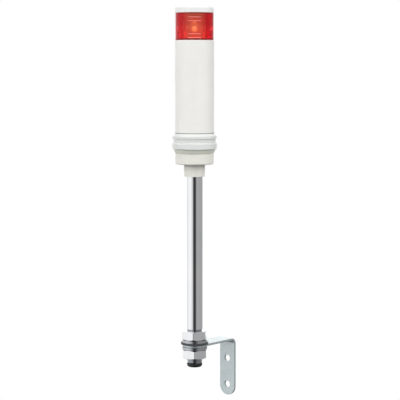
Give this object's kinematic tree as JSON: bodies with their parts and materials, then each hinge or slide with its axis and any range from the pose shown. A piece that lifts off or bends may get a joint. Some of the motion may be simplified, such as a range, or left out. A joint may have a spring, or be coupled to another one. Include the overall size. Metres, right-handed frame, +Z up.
{
  "type": "stack light",
  "caption": "Slim signal tower light with one red lens tier on a white cylindrical body, carried by a plated pole clamped in an L-shaped wall bracket.",
  "frame": {"origin": "on the wall face of the bracket's leg, midway between its two screw holes", "axes": "+Z up along the pole; +Y out of the bracket's back face, into the wall; +X to the right as seen from in front of the wall"},
  "size_m": [0.0458, 0.0779, 0.4098],
  "materials": {
    "zinc_steel": "bright zinc plating, slight cool tint",
    "plated_steel": "bright plating",
    "plated_pole": "polished plating",
    "screw_steel": "zinc plated",
    "black_rubber": "matt black",
    "grey_seal": "matt grey",
    "white_plastic": "semi-gloss, cool white",
    "ivory_plastic": "semi-gloss, slightly cream",
    "warm_white_plastic": "semi-gloss, warm white",
    "holder_plastic": "matt white",
    "circuit_board": "green solder mask",
    "light_board": "white solder mask",
    "capacitor_can": "dark sleeve",
    "terminal_plastic": "matt green",
    "chip_plastic": "matt black",
    "led_package": "phosphor and clear resin",
    "red_lens": "clear red, polished"
  },
  "bodies": {
    "bracket": {"wall_bracket": "zinc_steel", "rubber_packing": "black_rubber"},
    "mast": {"pole": "plated_pole", "upper_nut": "plated_steel", "upper_washer": "plated_steel", "cable_bush": "black_rubber", "pole_adapter": "ivory_plastic", "ring_nut": "plated_steel", "base_collar": "white_plastic", "base_screws": "screw_steel", "tie_screws": "screw_steel", "body_seal": "grey_seal", "body_tube": "warm_white_plastic", "driver_board": "circuit_board", "capacitor": "capacitor_can", "terminal_block": "terminal_plastic", "board_chips": "chip_plastic", "led_holder": "holder_plastic", "led_boards": "light_board", "leds": "led_package", "lens_seal": "black_rubber", "cap_seal": "black_rubber", "red_lens": "red_lens", "top_cap": "white_plastic"},
    "clamp_washer": {"lower_washer": "plated_steel"},
    "clamp_nut": {"lower_nut": "plated_steel"}
  },
  "joints": [
    {"name": "mast_turn", "type": "hinge", "parent": "bracket", "child": "mast", "pos_m": [0, -0.055, 0.0365], "axis": [0, 0, 1], "range_deg": [-180, 180]},
    {"name": "lower_nut_travel", "type": "slide", "parent": "mast", "child": "clamp_washer", "axis": [0, 0, -1], "range_m": [0, 0.0049]},
    {"name": "lower_nut_turn", "type": "hinge", "parent": "clamp_washer", "child": "clamp_nut", "pos_m": [0, -0.055, 0.0266], "axis": [0, 0, -1], "range_deg": [0, 1170]}
  ],
  "couplings": [
    {"joint": "lower_nut_travel", "follows": "lower_nut_turn", "m_per_rad": 0.00023873}
  ]
}
